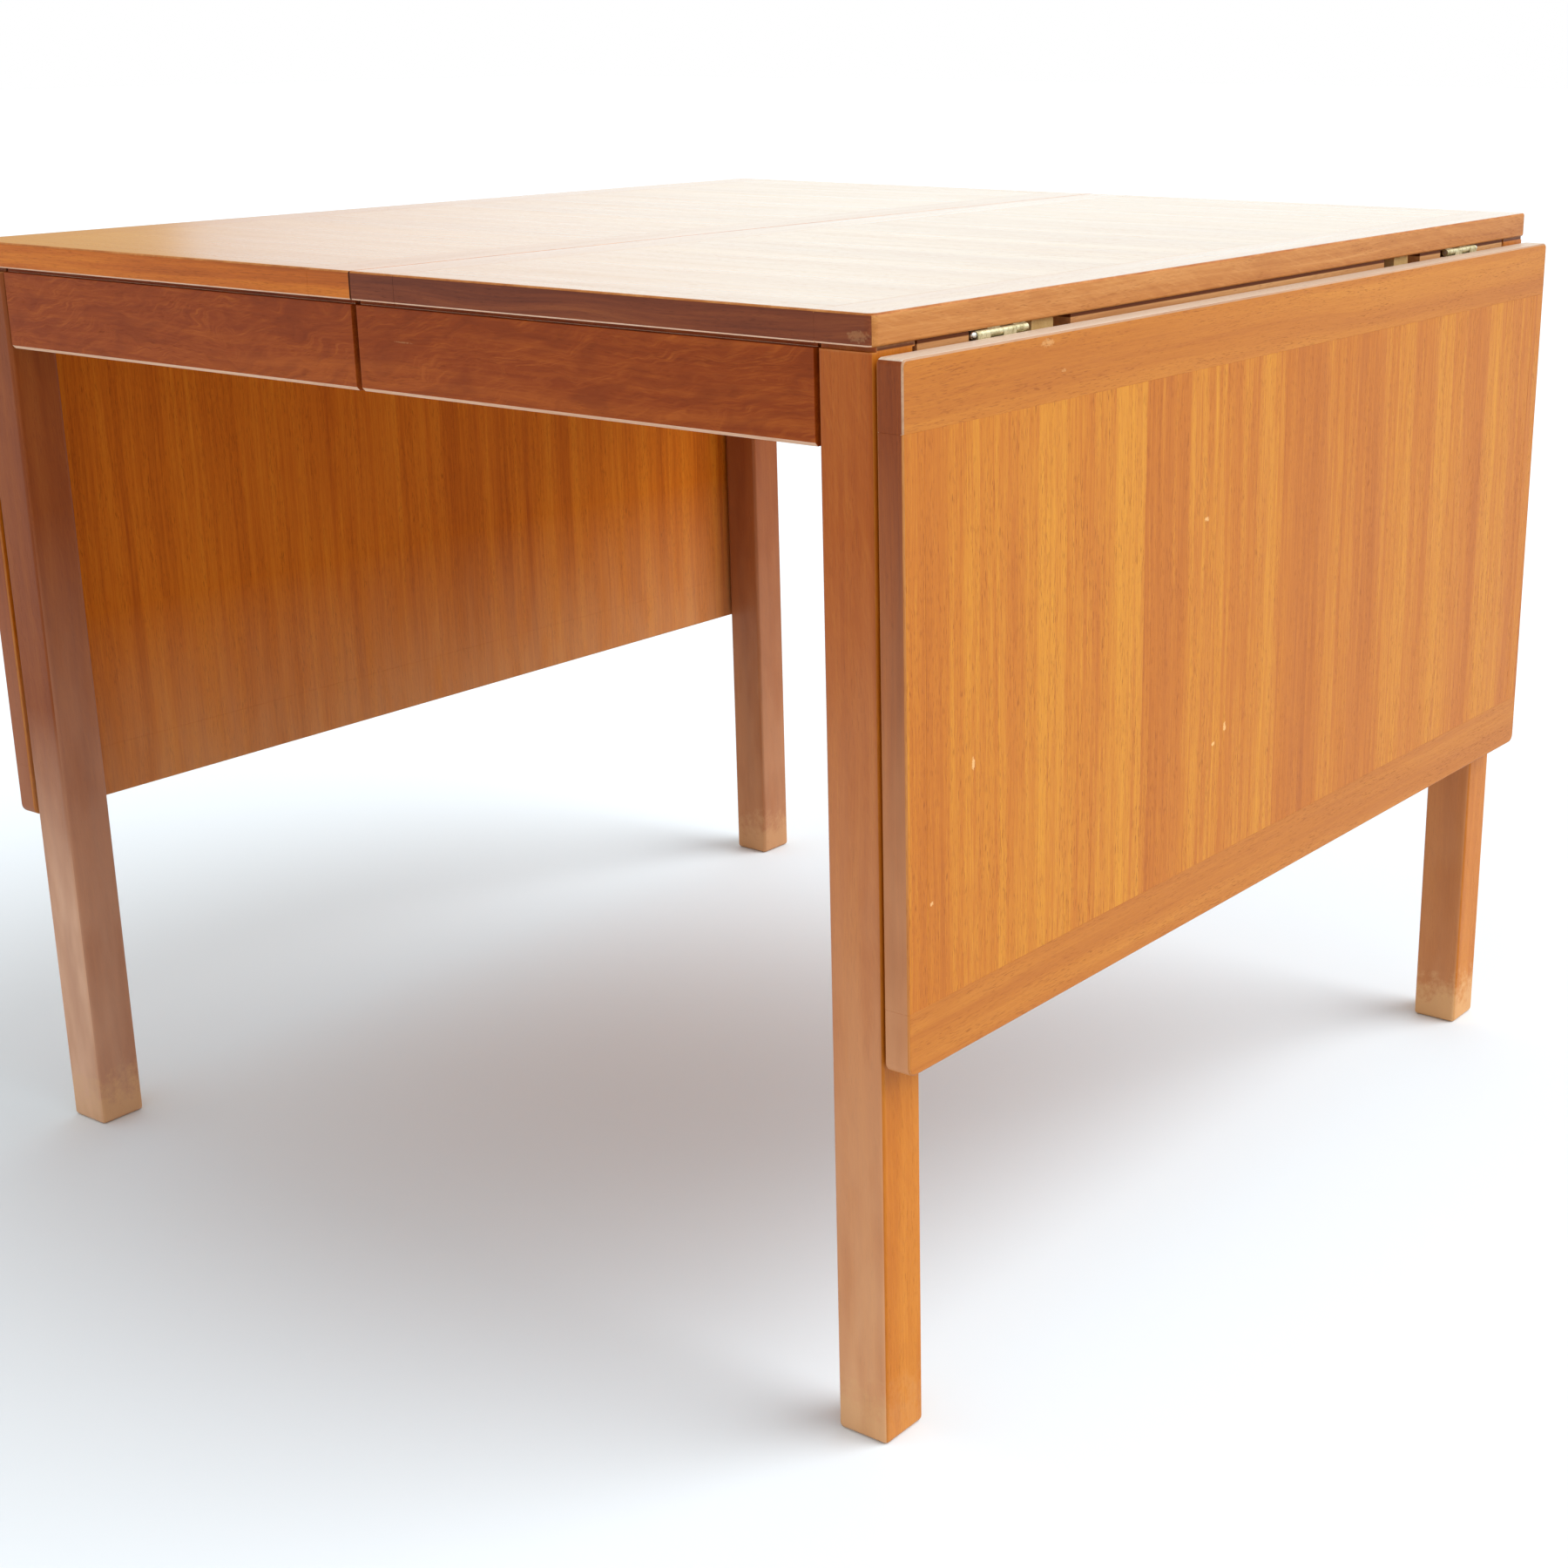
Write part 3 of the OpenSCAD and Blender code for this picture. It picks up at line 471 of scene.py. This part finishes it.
def make_woods():
    """Every wood of the table, by name."""
    woods = {}
    for board, settings in BOARD_WOODS.items():
        woods.update(board_woods(board, **settings))
    woods["leaf_hinge_lip"] = wood(
        "leaf_hinge_lipping", "y", "x", **HINGE_LIPPING, lines=0.4, fine=0.3, seed=4.9)
    # The leaves' side lips get a painted reflection of the floor, weaker on the far leaf
    for far, painted_sheen in (("", LEAF_PAINTED_SHEEN), ("far_", FAR_LEAF_PAINTED_SHEEN)):
        woods[far + "leaf_side_lip"] = wood(
            far + "leaf_side_lipping", "z", "x", **SIDE_LIPPING, lines=0.4, painted_sheen=painted_sheen, seed=11.6)
    woods["left_side_lip"] = wood(
        "orange_side_lipping", "x", "z", **ORANGE_LIPPING, broad=0.9, lines=0.4, fine=0.3, seed=12.4)
    woods["right_side_lip"] = wood(
        "dark_side_lipping", "x", "z", **DARK_LIPPING, broad=0.9, lines=0.4, wander=12 * MM,
        marks=CORNER_MARKS, mark_amount=0.12, seed=2.4)
    woods["arris"] = wood(
        "worn_arris", "z", "x", **ARRIS, broad=0.8, lines=0.2, fine=0.3, roughness=0.5, seed=1.1)
    woods["lip_arris"] = wood(
        "worn_lip_arris", "y", "x", **LIP_ARRIS, broad=0.8, lines=0.2, fine=0.3, roughness=0.5, seed=1.5)
    # The down-facing arris wood, pale as a painted reflection of the floor
    woods["floor_sheen_arris"] = wood(
        "arris_painted_floor_sheen", "x", "z", **FLOOR_SHEEN_ARRIS, broad=0.7, lines=0.2, fine=0.3, roughness=0.5, seed=2.9)
    woods["seam_line"] = wood("seam_line", "z", "x", **SEAM_DARK, lines=0.2, roughness=0.7, seed=3.7)
    woods["apron"] = wood(
        "curly_apron_teak", "x", "z", **APRON, broad=0.42, lines=0.15, fine=0.15, wander=12 * MM,
        flecks=0.75, fleck_slope=-0.22, swirl=0.030, pores=0.25, marks=APRON_MARKS, mark_amount=0.13,
        specular=0.12, seed=4.4)
    # Each leg's side wood gets painted shade at its top, in the gap under the top
    for name, colours, across, painted_sheen, bare_foot in LEG_WOODS:
        woods[name] = wood(
            name + "_teak", "z", across, **colours, broad=0.5, lines=0.15, fine=0.18, wander=6 * MM,
            flecks=0.3, pores=0.3, painted_sheen=painted_sheen, bare_foot=bare_foot, worn_edges=0.35,
            painted_shade_above=PAINTED_SHADE_ABOVE if across == "y" else None, seed=6.6)
    # Pale as painted light, and dark at its top as painted shade, in the gap under the top
    woods["rail"] = wood("rail_teak", "y", "z", **RAIL_PAINTED_LIGHT, specular=0.1, painted_shade_above=PAINTED_SHADE_ABOVE, seed=8.8)
    woods["beech"] = wood(
        "beech", "x", "y", **BEECH, broad=0.4, fine=0.3, pores=0.5, roughness=0.6, seed=0.6)
    return woods


# ---- Metal ----

# The sizes of a metal's brushed streaks, which run along Y, of its stains and of its pits
STREAK_SIZE, STAIN_SIZE, PIT_SIZE = (0.6 * MM, 12 * MM, 0.6 * MM), (6 * MM,) * 3, (1.2 * MM,) * 3
METAL_RELIEF = 0.08 * MM


def metal(name, colour, stain, roughness, brushed):
    """A metal with fine brushing along Y, dull stains and a few small pits."""
    material, t = new_material(name)
    place = t.split(t.add("ShaderNodeTexCoord").outputs["Object"])

    def pattern(sizes, **options):
        return t.noise(t.join(*(t.math("DIVIDE", v, by) for v, by in zip(place, sizes))), **options)

    streaks = pattern(STREAK_SIZE, roughness=0.6)
    cloud = pattern(STAIN_SIZE, detail=4.0, roughness=0.65)
    pits = t.span(pattern(PIT_SIZE, detail=1.0), 0.62, 0.70)
    tarnish = t.math("ADD", t.span(cloud, 0.42, 0.68), t.math("MULTIPLY", pits, 0.5), clamp=True)
    tint = t.mix(tarnish, colour, stain)
    streaked = t.span(streaks, 0.3, 0.7, roughness - 0.05, roughness + 0.08)
    gloss = t.math("MULTIPLY_ADD", tarnish, 0.22, streaked)
    height = t.sum((brushed, streaks), (-0.6, pits))
    bump = {"Strength": 0.3, "Distance": METAL_RELIEF, "Height": height}
    relief = t.add("ShaderNodeBump", bump).outputs[0]
    shader = t.add("ShaderNodeBsdfPrincipled", {"Base Color": tint, "Roughness": gloss, "Normal": relief})
    shader.inputs["Metallic"].default_value = 1.0
    t.add("ShaderNodeOutputMaterial", {0: shader.outputs[0]})
    return material


def make_metals():
    return {
        "brass": metal("aged_brass", linear(220, 214, 178), linear(158, 146, 106), 0.38, 0.5),
        "pin": metal("bright_pin_steel", linear(216, 216, 208), linear(150, 148, 140), 0.34, 0.3),
        "screw": metal("plated_screw_steel", linear(200, 196, 182), linear(120, 112, 98), 0.34, 0.4),
    }


# ---- Meshes ----

# Edges that turn by more than this are shaded sharp
SHARP_ANGLE = math.radians(42)
TINY = 1e-6
BODY_OF_NODE = {n: body for body, nodes in frame["record"]["behaviour"]["bodies"].items() for n in nodes}


def round_edges(bm, chosen, radius, steps):
    edges = [e for e in bm.edges if chosen(e)]
    if edges:
        bmesh.ops.bevel(
            bm, geom=edges, offset=radius, offset_type="OFFSET", segments=steps, profile=0.5,
            affect="EDGES", clamp_overlap=True)


def cuboid(bm, lo, hi):
    made = bmesh.ops.create_cube(bm, size=1.0)["verts"]
    middle, size = (lo + hi) / 2, hi - lo
    for v in made:
        v.co = middle + Vector(v.co[i] * size[i] for i in range(3))


def both_at(edge, axis, value):
    return all(abs(v.co[axis] - value) < TINY for v in edge.verts)


def sharper_than(angle):
    return lambda edge: edge.calc_face_angle(0) > angle


def finish_piece(bm, node, materials):
    """Makes bm the smooth-shaded piece that stands for a node and moves with it. Flat faces stay flat."""
    bm.normal_update()
    for face in bm.faces:
        face.smooth = True
    for edge in bm.edges:
        edge.smooth = len(edge.link_faces) == 2 and edge.calc_face_angle(0) < SHARP_ANGLE
    mesh = bpy.data.meshes.new(node + "_wood")
    bm.to_mesh(mesh)
    bm.free()
    for material in materials:
        mesh.materials.append(material)
    piece = bpy.data.objects.new(node + "_wood", mesh)
    bpy.context.scene.collection.objects.link(piece)
    weigh = piece.modifiers.new("flat_faces", "WEIGHTED_NORMAL")
    weigh.keep_sharp = True
    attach(piece, BODY_OF_NODE[node])
    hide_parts(node)


# ---- Boards ----

# A board's own axes, as it lies raised, are u outwards from the table's middle, v along its edge and w up
ARRIS_UP, ARRIS_LOW, JOINT_EDGE, SEAM_EDGE = 2.0 * MM, 1.8 * MM, 0.15 * MM, 0.6 * MM
CORNER_R = {"end_band": 6 * MM, "hinge_band": 4 * MM, "free_band": 7 * MM}
CORNER_STEPS, ARRIS_STEPS, SEAM_STEPS = 6, 4, 2
# Edges that turn by more than this, in radians, are taken to be unrounded
RIGHT_ANGLED = 1.2
# Which of a board part's sides are outer edges of the board. The front is towards -Y.
OUTER_SIDES = {
    "panel": (), "end_band": ("u+", "v+", "v-"), "seam_band": ("u-", "v+", "v-"),
    "hinge_band": ("u-", "v+", "v-"), "free_band": ("u+", "v+", "v-"),
    "front_strip": ("front",), "back_strip": ("back",),
}
BOARD_PARTS = {
    "top": ("panel", "end_band", "seam_band", "front_strip", "back_strip"),
    "leaf": ("panel", "hinge_band", "free_band", "front_strip", "back_strip"),
}
# A board part's materials, in order
FACE, BACK, END_LIP, SIDE_LIP, ARRIS_FACE, LOW_ARRIS, SEAM_LINE = range(7)
# How much of its normal is up or down, at least, in a flat face, in a joint's eased edge, and in an arris
LEVEL, JOINT_LEVEL, ARRIS_LEVEL = 0.97, 0.5, 0.2
# How much of its normal is along both u and v, at least, in the upright edge round at the seam
SEAM_TURN = 0.2


def turn_of(board, side):
    """Turns a board's own axes to how it hangs or lies in the frame."""
    out = OUT[side]
    if board == "top":
        columns = (Vector((out, 0, 0)), Vector((0, out, 0)), Vector((0, 0, 1)))
    else:
        columns = (Vector((0, 0, -1)), Vector((0, out, 0)), Vector((out, 0, 0)))
    return Matrix(columns).transposed()


def edge_planes(part, side, lo, hi):
    """The (axis, place) of each of a part's outer edges, and of each of its joints to other parts."""
    planes = {"u-": (0, lo[0]), "u+": (0, hi[0]), "v-": (1, lo[1]), "v+": (1, hi[1])}
    sides = tuple(planes)
    front, back = ("v-", "v+") if side == "right" else ("v+", "v-")
    planes.update(front=planes[front], back=planes[back])
    outer = [planes[s] for s in OUTER_SIDES[part]]
    joints = [planes[s] for s in sides if planes[s] not in outer]
    return outer, joints


def ease_board_edges(bm, part, lo, hi, outer, joints):
    """Rounds a part's corners and outer edges, and only takes the sharpness off where it meets another."""
    sharp_planes = joints + ([(0, lo[0])] if part == "seam_band" else [])

    def is_corner(edge):
        return sum(both_at(edge, axis, place) for axis, place in outer) == 2

    def outline_at(height):
        return lambda edge: both_at(edge, 2, height) and not any(both_at(edge, *p) for p in sharp_planes)

    if part in CORNER_R:
        round_edges(bm, is_corner, CORNER_R[part], CORNER_STEPS)
    if outer:
        round_edges(bm, outline_at(hi[2]), ARRIS_UP, ARRIS_STEPS)
        round_edges(bm, outline_at(lo[2]), ARRIS_LOW, ARRIS_STEPS)
    if part == "seam_band":
        round_edges(bm, lambda edge: both_at(edge, 0, lo[0]), SEAM_EDGE, SEAM_STEPS)
    round_edges(bm, sharper_than(RIGHT_ANGLED), JOINT_EDGE, 1)


def kind_of_face(face, part, joints):
    """Which of a part's materials a face has. A seam edge and a low end edge are of the lip's own wood."""
    u, v, w = (abs(n) for n in face.normal)
    looks_up = face.normal[2] > 0
    middle = face.calc_center_median()
    at_joint = any(abs(middle[axis] - place) < JOINT_EDGE for axis, place in joints)
    if w > LEVEL or at_joint and w > JOINT_LEVEL:
        return FACE if looks_up else BACK
    if part == "seam_band" and min(u, v) > SEAM_TURN:
        return SEAM_LINE
    is_lip = u > v and (part == "seam_band" or not looks_up)
    if w > ARRIS_LEVEL and not at_joint and not is_lip:
        return ARRIS_FACE if looks_up else LOW_ARRIS
    return END_LIP if u > v else SIDE_LIP


def board_part(board, side, part, materials):
    """A panel, band or strip of a board, veneered on its face and back and lipped along its outer edges."""
    node = f"{side}_{board}_{part}"
    turn = turn_of(board, side)
    corners = [turn.inverted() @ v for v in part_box(node)]
    lo, hi = (Vector(pick(c[i] for c in corners) for i in range(3)) for pick in (min, max))
    outer, joints = edge_planes(part, side, lo, hi)
    bm = bmesh.new()
    cuboid(bm, lo, hi)
    ease_board_edges(bm, part, lo, hi, outer, joints)
    bm.normal_update()
    for face in bm.faces:
        face.material_index = kind_of_face(face, part, joints)
    bmesh.ops.transform(bm, matrix=turn.to_4x4(), verts=bm.verts)
    finish_piece(bm, node, materials)


def board_part_woods(board, side, part):
    """The names of a board part's woods, in the order of its face kinds."""
    if board == "top":
        # The top's low arris is pale with a painted reflection of the floor
        side_lip, low_arris = side + "_side_lip", "floor_sheen_arris"
    else:
        side_lip = "leaf_side_lip" if side == "right" else "far_leaf_side_lip"
        low_arris = "arris"
    end_lip = {"seam_band": side_lip, "hinge_band": "leaf_hinge_lip"}.get(part, board + "_end_lip")
    arris = "lip_arris" if part == "hinge_band" else "arris"
    face = f"{board}_{part.split('_')[-1]}"
    return face, board + "_back", end_lip, side_lip, arris, low_arris, "seam_line"


def make_boards(woods):
    for board, parts in BOARD_PARTS.items():
        for side in OUT:
            for part in parts:
                materials = [woods[name] for name in board_part_woods(board, side, part)]
                board_part(board, side, part, materials)


# ---- Legs and aprons ----

LEG_ARRIS, LEG_ARRIS_STEPS, APRON_CHAMFER, APRON_EDGE = 3.5 * MM, 4, 2.5 * MM, 0.5 * MM
# A leg's upright edges are longer than this
LONG_EDGE = 0.5
# Edges of an apron that turn by more than this, in radians, are eased
APRON_EASED = 0.7
# How much of its normal is down, and how much outwards, at least, in an apron's chamfer
CHAMFER_TURN = 0.3
APRON_T, TENON_T, TENON_SHOULDER, TENON_L, LEG_GROOVE = 20 * MM, 10 * MM, 10 * MM, 18 * MM, 2.5 * MM
# The dark gap under the top, and how deep it is cut behind the aprons' faces and the legs' faces
SHADOW_H, APRON_SHADOW_D, LEG_SHADOW_D = 3 * MM, 4 * MM, 4.3 * MM
LEG_WOOD_OF = {
    "right_front_leg": "leg", "right_back_leg": "back_leg",
    "left_front_leg": "left_leg", "left_back_leg": "far_leg",
}


def capped(bm, lo, hi, facing, depth):
    """A box up to the dark gap under the top, and above it one that is set back by depth where it faces."""
    cap_lo, cap_hi = Vector((lo.x, lo.y, hi.z - SHADOW_H)), hi.copy()
    if facing < 0:
        cap_lo.y += depth
    else:
        cap_hi.y -= depth
    cuboid(bm, cap_lo, cap_hi)
    cuboid(bm, lo, Vector((hi.x, hi.y, hi.z - SHADOW_H)))


def make_leg(node, facing, woods):
    """A leg with rounded upright edges and foot, in one wood at front and back and another at its sides."""
    lo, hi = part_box(node)
    bm = bmesh.new()
    capped(bm, lo, hi, facing, LEG_SHADOW_D)

    def is_rounded(edge):
        return edge.calc_length() > LONG_EDGE or both_at(edge, 2, lo.z)

    round_edges(bm, is_rounded, LEG_ARRIS, LEG_ARRIS_STEPS)
    bm.normal_update()
    for face in bm.faces:
        face.material_index = int(abs(face.normal.x) > abs(face.normal.y))
    name = LEG_WOOD_OF[node]
    finish_piece(bm, node, [woods[name], woods[name + "_side"]])


def make_apron(node, out, facing, woods):
    """Half an apron with a tenon at its leg, and a chamfer below that is pale with a painted reflection of
    the floor.
    """
    lo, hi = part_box(node)
    inner, outer = sorted((lo.x, hi.x), key=abs)
    shoulder = outer - out * (TENON_L + LEG_GROOVE)
    face_y = hi.y if facing > 0 else lo.y
    left, right = sorted((inner, shoulder))
    bm = bmesh.new()
    capped(bm, Vector((left, lo.y, lo.z)), Vector((right, hi.y, hi.z)), facing, APRON_SHADOW_D)
    round_edges(bm, lambda edge: both_at(edge, 2, lo.z) and both_at(edge, 1, face_y), APRON_CHAMFER, 1)
    round_edges(bm, sharper_than(APRON_EASED), APRON_EDGE, 2)
    bm.normal_update()
    for face in bm.faces:
        is_chamfer = face.normal.z < -CHAMFER_TURN and face.normal.y * facing > CHAMFER_TURN
        face.material_index = int(is_chamfer)
    left, right = sorted((shoulder, outer))
    inset = (APRON_T - TENON_T) / 2
    cuboid(bm, Vector((left, lo.y + inset, lo.z + TENON_SHOULDER)),
           Vector((right, hi.y - inset, hi.z - TENON_SHOULDER)))
    finish_piece(bm, node, [woods["apron"], woods["floor_sheen_arris"]])


def make_legs_and_aprons(woods):
    corners = [(side, end) for side in OUT for end in FACING]
    for side, end in corners:
        make_leg(f"{side}_{end}_leg", FACING[end], woods)
    for side, end in corners:
        make_apron(f"{side}_{end}_apron", OUT[side], FACING[end], woods)


# ---- Parts that keep their CAD shape ----

def dress_cad_parts(woods, metals):
    material_of = {
        "loper": woods["beech"], "runner": woods["beech"], "corner_blocks": woods["beech"],
        "seam_dowels": woods["beech"], "end_rail": woods["rail"],
        "hinge_top_plate": metals["brass"], "hinge_leaf_plate": metals["brass"],
        "hinge_pins": metals["pin"], "screws": metals["screw"], "loper_guides": metals["screw"],
    }
    for node, part in frame["nodes"].items():
        for ending, material in material_of.items():
            if node.endswith(ending):
                for slot in part.material_slots:
                    slot.material = material


# ---- Stage ----

FLOOR_REACH, FLOOR_WHITE = 30.0, (0.81, 0.88, 0.93, 1.0)
WHITE = (1.0, 1.0, 1.0)
ROOM_LIGHT, WINDOW_EXTRA = 0.80, 1.14
WINDOW_TINT, WALL_TINT = (0.78, 0.95, 0.98), (1.0, 0.72, 0.38)
# Where the window and the wall are, and the cosines of the angles from there where each starts and is full
WINDOW_TOWARD, WINDOW_NEAR = (-0.45, 0.89, 0.0), (0.855, 0.974)
WALL_TOWARD, WALL_NEAR = (-0.95, 0.31, 0.0), (0.9450, 0.9486)
# Both are full up to the first height and gone from the second, on a sphere of radius 1
LIGHT_LOW, LIGHT_HIGH = 0.30, 0.65
KEY_FROM, KEY_STRENGTH, KEY_SPREAD = (0.62, 0.38, 0.68), 2.3, math.radians(50)
CAMERA_PLACE, CAMERA_LENS, CAMERA_SHIFT = (1.2757, -1.5302, 0.8800), 55.7, (-0.111, 0.008)
# How far the camera turns left of +Y, how far it looks up, and how far it leans
CAMERA_TURN = tuple(math.radians(v) for v in (35.92, -17.72, -0.175))


def make_floor():
    bm = bmesh.new()
    for x, y in ((-1, -1), (1, -1), (1, 1), (-1, 1)):
        bm.verts.new((x * FLOOR_REACH, y * FLOOR_REACH, 0.0))
    bm.faces.new(bm.verts)
    mesh = bpy.data.meshes.new("floor")
    bm.to_mesh(mesh)
    bm.free()
    floor = bpy.data.objects.new("floor", mesh)
    bpy.context.scene.collection.objects.link(floor)
    material, t = new_material("floor_white")
    shader = t.add("ShaderNodeBsdfDiffuse", {"Color": FLOOR_WHITE})
    t.add("ShaderNodeOutputMaterial", {0: shader.outputs[0]})
    mesh.materials.append(material)


def make_world():
    """White for the eye. For light it has a low window behind the table and a warm wall beside it."""
    world = bpy.data.worlds.new("studio")
    bpy.context.scene.world = world
    world.use_nodes = True
    t = Tree(world.node_tree)
    x, y, height = t.split(t.add("ShaderNodeTexCoord").outputs["Generated"])
    level = t.add("ShaderNodeVectorMath", {0: t.join(x, y, 0.0)}, operation="NORMALIZE").outputs[0]
    low = t.span(height, LIGHT_LOW, LIGHT_HIGH, 1.0, 0.0)
    wall = t.math("MULTIPLY", t.span(t.dot(level, WALL_TOWARD), *WALL_NEAR), low)
    glow = t.math("MULTIPLY", t.span(t.dot(level, WINDOW_TOWARD), *WINDOW_NEAR), low)
    glow = t.math("MULTIPLY", glow, t.math("SUBTRACT", 1.0, wall))
    tint = t.mix(wall, t.mix(glow, WHITE, WINDOW_TINT), WALL_TINT)
    strength = t.math("MULTIPLY_ADD", glow, WINDOW_EXTRA, ROOM_LIGHT)
    soft = t.add("ShaderNodeBackground", {"Color": tint, "Strength": strength})
    seen = t.add("ShaderNodeBackground", {"Color": (*WHITE, 1.0), "Strength": 1.0})
    eye = t.add("ShaderNodeLightPath").outputs["Is Camera Ray"]
    both = t.add("ShaderNodeMixShader", {0: eye, 1: soft.outputs[0], 2: seen.outputs[0]})
    t.add("ShaderNodeOutputWorld", {0: both.outputs[0]})


def make_key_light():
    """A very soft light from the right, behind and above, that is the same all over the floor."""
    light = bpy.data.lights.new("key_light", "SUN")
    light.energy = KEY_STRENGTH
    light.angle = KEY_SPREAD
    lamp = bpy.data.objects.new("key_light", light)
    lamp.rotation_mode = "QUATERNION"
    lamp.rotation_quaternion = Vector(KEY_FROM).to_track_quat("Z", "Y")
    bpy.context.scene.collection.objects.link(lamp)


def make_camera():
    """Stands at the front right corner, a little above the top, and looks down and to the left."""
    heading, tilt, roll = CAMERA_TURN
    flat = Vector((-math.sin(heading), math.cos(heading), 0))
    ahead = flat * math.cos(tilt) + Vector((0, 0, math.sin(tilt)))
    level = ahead.cross(Vector((0, 0, 1))).normalized()
    above = level.cross(ahead)
    right = level * math.cos(roll) + above * math.sin(roll)
    up = above * math.cos(roll) - level * math.sin(roll)
    data = bpy.data.cameras.new("camera")
    data.sensor_width = 36.0
    data.lens = CAMERA_LENS
    data.shift_x, data.shift_y = CAMERA_SHIFT
    camera = bpy.data.objects.new("camera", data)
    camera.matrix_world = Matrix((right, up, -ahead)).transposed().to_4x4()
    camera.location = CAMERA_PLACE
    bpy.context.scene.collection.objects.link(camera)
    bpy.context.scene.camera = camera


# ---- The scene ----

make_camera()
make_world()
make_key_light()
make_floor()
bpy.context.scene.view_settings.view_transform = "Standard"

woods = make_woods()
metals = make_metals()
make_boards(woods)
make_legs_and_aprons(woods)
dress_cad_parts(woods, metals)
